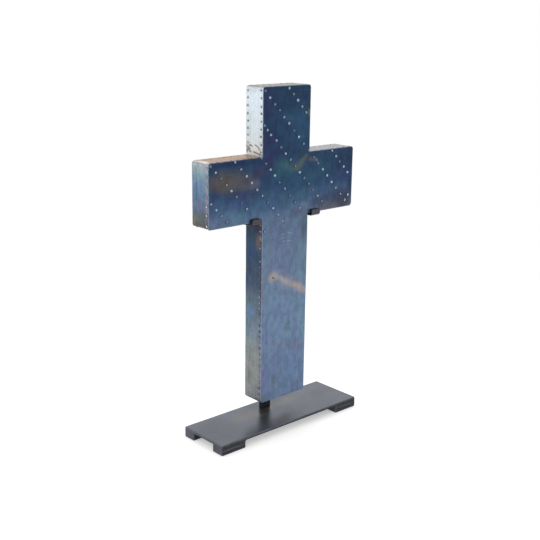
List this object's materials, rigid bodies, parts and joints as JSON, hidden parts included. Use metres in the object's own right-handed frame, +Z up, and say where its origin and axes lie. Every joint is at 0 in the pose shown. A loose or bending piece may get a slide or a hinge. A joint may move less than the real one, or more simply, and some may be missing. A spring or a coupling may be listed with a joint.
{
  "type": "standing metal-clad cross on steel stand",
  "caption": "Latin cross clad in heat-blued sheet steel nailed with small brads, held clear of a flat steel base plate by an upright bar behind it and hooks under its arms.",
  "frame": {"origin": "centre of the stand's footprint, on the surface it stands on", "axes": "+Z up along the shaft, +X along the arms towards the arm on the right as the front is seen, -Y out of the front face"},
  "size_m": [0.3, 0.095, 0.55],
  "materials": {
    "timber": "plain sawn, hidden",
    "blued_steel": "heat-blued, satin, with temper colours",
    "pale_blued_steel": "pale blue temper, satin",
    "straw_steel": "straw temper, satin",
    "greige_steel": "plain bright steel, dulled",
    "blackened_steel": "blackened and waxed, semi-gloss"
  },
  "bodies": {
    "root": {"timber_core": "timber", "front_sheet": "blued_steel", "back_sheet": "blued_steel", "head_top_strip": "greige_steel", "head_right_strip": "blued_steel", "right_arm_top_strip": "greige_steel", "right_arm_end_strip": "blued_steel", "right_arm_under_strip": "blued_steel", "shaft_right_strip": "blued_steel", "shaft_foot_strip": "blued_steel", "shaft_left_strip": "blued_steel", "left_arm_under_strip": "blued_steel", "left_arm_end_strip": "pale_blued_steel", "left_arm_top_strip": "straw_steel", "head_left_strip": "pale_blued_steel", "base_plate": "blackened_steel", "foot_front_left": "blackened_steel", "foot_front_right": "blackened_steel", "foot_back_left": "blackened_steel", "foot_back_right": "blackened_steel", "upright": "blackened_steel", "back_bar": "blackened_steel", "hook_left": "blackened_steel", "hook_right": "blackened_steel"}
  },
  "joints": []
}
